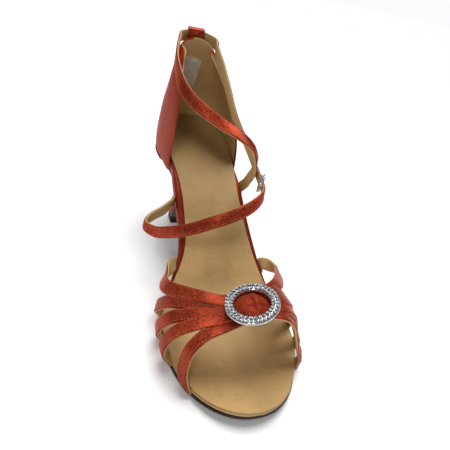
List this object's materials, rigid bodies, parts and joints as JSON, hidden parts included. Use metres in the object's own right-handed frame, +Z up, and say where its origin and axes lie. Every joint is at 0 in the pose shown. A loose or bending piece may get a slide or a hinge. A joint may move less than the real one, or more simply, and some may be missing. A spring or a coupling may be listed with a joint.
{
  "type": "ballroom dance shoe",
  "caption": "Open-toe dance sandal for the right foot: satin straps under a ring ornament, a closed heel counter, a crossing buckled ankle strap and a flared heel.",
  "frame": {"origin": "on the floor, under the widest part of the forefoot", "axes": "+X to the wearer's inner side, -Y to the toe, +Z up"},
  "size_m": [0.0863, 0.213, 0.1391],
  "materials": {
    "upper_satin": "copper red satin with a soft sheen",
    "satin_wrap": "copper red satin glued over the heel and the insole board",
    "insole_leather": "tan leather, matt, lightly creased",
    "outsole_suede": "dark brushed suede",
    "lift_rubber": "dark brown, matt",
    "polished_metal": "polished silver tone"
  },
  "bodies": {
    "root": {"outsole": "outsole_suede", "insole_board": "satin_wrap", "insole_sock": "insole_leather", "heel": "satin_wrap", "heel_lift": "lift_rubber", "counter": "upper_satin", "vamp": "upper_satin", "ankle_strap": "upper_satin", "heel_loop": "upper_satin", "buckle_frame": "polished_metal", "buckle_prong": "polished_metal", "ring_ornament": "polished_metal"}
  },
  "joints": []
}
